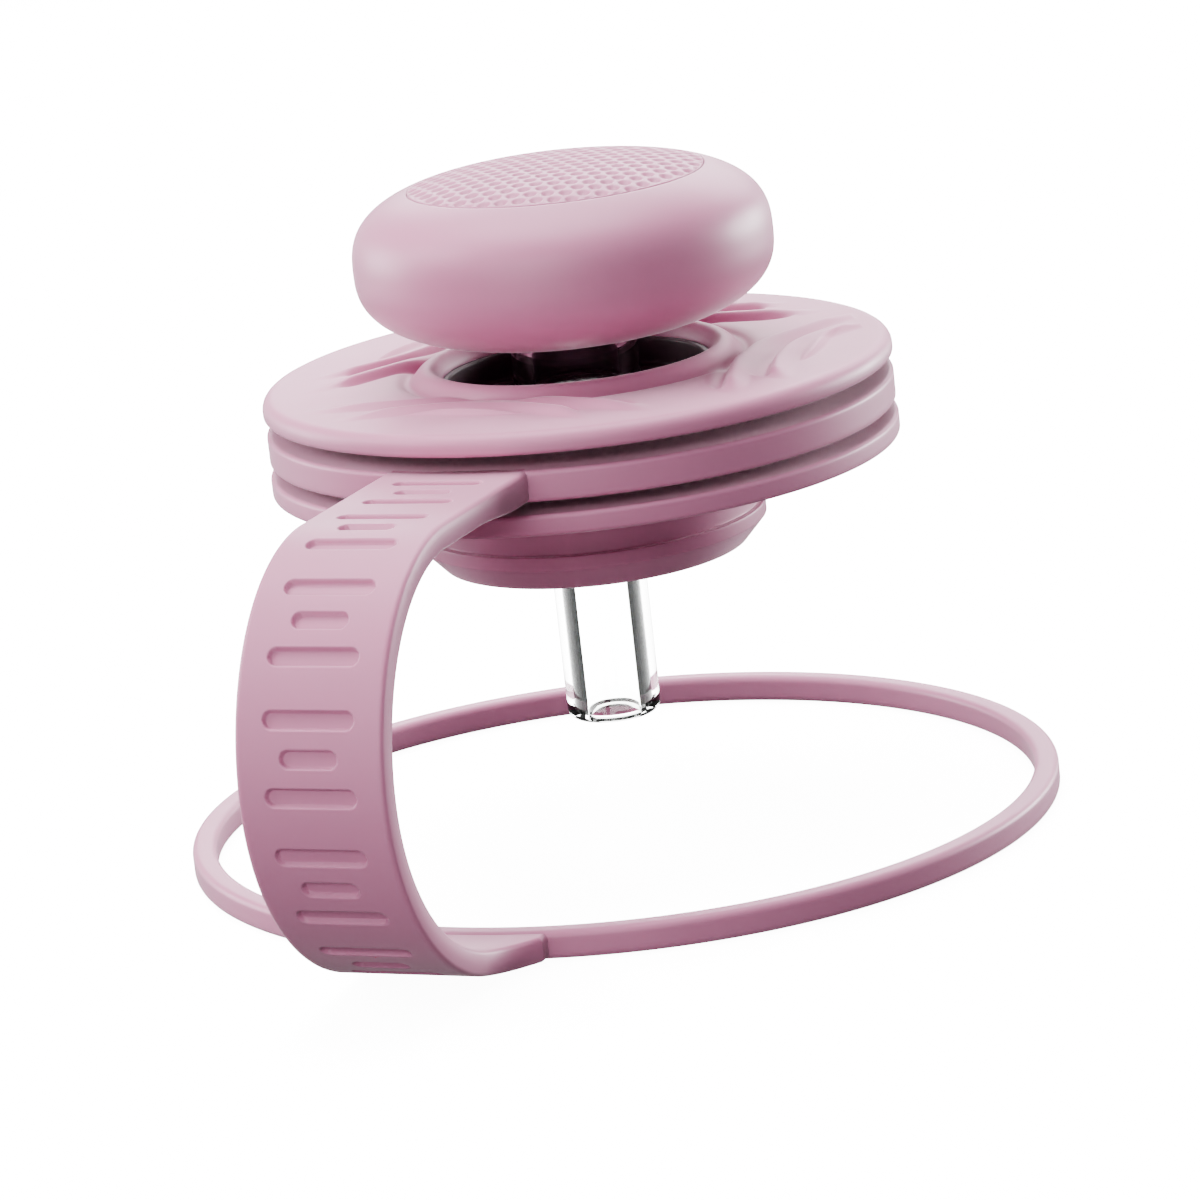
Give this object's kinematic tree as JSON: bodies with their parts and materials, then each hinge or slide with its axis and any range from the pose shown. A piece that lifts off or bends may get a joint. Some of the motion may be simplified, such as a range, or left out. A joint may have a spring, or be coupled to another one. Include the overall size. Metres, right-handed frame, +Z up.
{
  "type": "tethered joystick cap",
  "caption": "Soft two-disc plug cap with a tilting glass air stem under a pebble knob, held by a C-shaped strap to a loop.",
  "frame": {"origin": "centre of the whole object's plan box, on the plane the loop rests on", "axes": "+Z up along the cap's axis; the strap runs out towards -Y; +X to the right seen from the strap"},
  "size_m": [0.072, 0.0914, 0.0554],
  "materials": {
    "silicone": "satin moulded silicone, dusty rose",
    "cap_silicone": "satin moulded silicone, dusty rose, fine bead-blast grain",
    "knob_silicone": "soft-touch silicone, fine dimples on the pad",
    "boot_silicone": "thin dark silicone",
    "clear_glass": "fire-polished borosilicate",
    "socket_plastic": "moulded"
  },
  "bodies": {
    "tether_base": {"device_ring": "silicone", "strap_lower": "silicone", "strap_bend": "silicone"},
    "tether_collar": {"strap_upper": "silicone", "cap_collar": "silicone"},
    "cap": {"top_disc": "cap_silicone", "cap_base": "cap_silicone", "boot_rim": "boot_silicone"},
    "boot": {"boot_outer_fold": "boot_silicone"},
    "sleeve": {"boot_inner_fold": "boot_silicone", "boot_sleeve": "boot_silicone"},
    "stick": {"glass_stem": "clear_glass", "knob_shell": "knob_silicone", "knob_pad": "knob_silicone", "knob_core": "socket_plastic"}
  },
  "joints": [
    {"name": "strap_flex", "type": "hinge", "parent": "tether_base", "child": "tether_collar", "pos_m": [0, -0.0447, 0.0185], "axis": [1, 0, 0], "range_deg": [0, 100], "stiffness_Nm_per_rad": 0.002, "deforming": ["strap_bend"]},
    {"name": "cap_swivel", "type": "hinge", "parent": "tether_collar", "child": "cap", "pos_m": [0, 0.0097, 0.0348], "axis": [0, 0, 1], "continuous": true},
    {"name": "stick_tilt_x", "type": "hinge", "parent": "cap", "child": "boot", "pos_m": [0, 0.0097, 0.033], "axis": [1, 0, 0], "range_deg": [-7, 7], "stiffness_Nm_per_rad": 0.05, "deforming": ["boot_outer_fold"]},
    {"name": "stick_tilt_y", "type": "hinge", "parent": "boot", "child": "sleeve", "pos_m": [0, 0.0097, 0.033], "axis": [0, 1, 0], "range_deg": [-7, 7], "stiffness_Nm_per_rad": 0.05, "deforming": ["boot_inner_fold"]},
    {"name": "stick_spin", "type": "hinge", "parent": "sleeve", "child": "stick", "pos_m": [0, 0.0097, 0.033], "axis": [0, 0, 1], "continuous": true}
  ]
}
